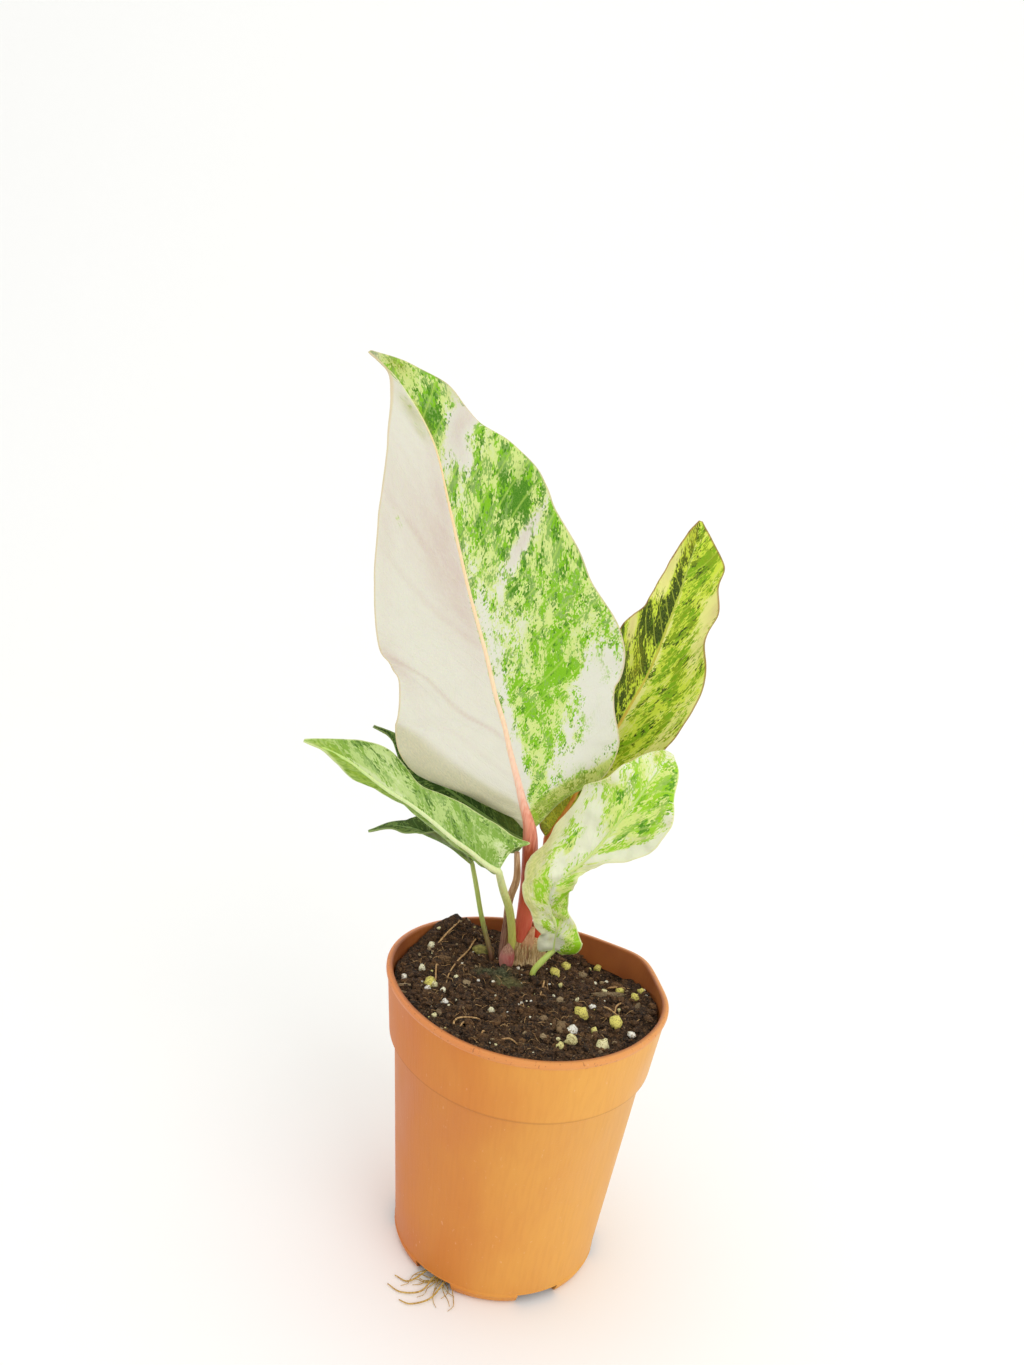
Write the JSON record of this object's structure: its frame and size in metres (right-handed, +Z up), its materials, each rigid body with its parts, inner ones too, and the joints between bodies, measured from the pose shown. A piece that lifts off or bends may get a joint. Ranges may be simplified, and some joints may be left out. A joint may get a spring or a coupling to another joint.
{
  "type": "potted foliage plant",
  "caption": "Young variegated foliage plant with tall mottled leaves, standing in a filled round nursery pot.",
  "frame": {"origin": "middle of the pot's flat underside, on the surface it stands on", "axes": "+Z up along the pot's axis, -Y towards the viewer of the picture, +X to the viewer's right"},
  "size_m": [0.172, 0.1403, 0.3717],
  "materials": {
    "pot_plastic": "thin satin moulded plastic",
    "potting_mix": "coarse damp bark and peat mix with perlite",
    "crown": "dry fibrous stem",
    "bud": "dusty matt bud",
    "sheath": "papery dry sheath",
    "old_stalk": "dried tan stalk",
    "pale_leaf": "waxy leaf, cream with green mottling",
    "bright_leaf": "waxy leaf, bright green with cream streaks",
    "dark_leaf": "waxy dark green leaf"
  },
  "bodies": {
    "root": {"pot": "pot_plastic", "soil": "potting_mix", "crown": "crown", "bud": "bud", "sheath": "sheath", "old_stalk": "old_stalk", "leaf_a": "pale_leaf", "leaf_b": "bright_leaf", "leaf_c": "pale_leaf", "leaf_d": "bright_leaf", "leaf_e": "dark_leaf", "leaf_f": "dark_leaf"}
  },
  "joints": []
}
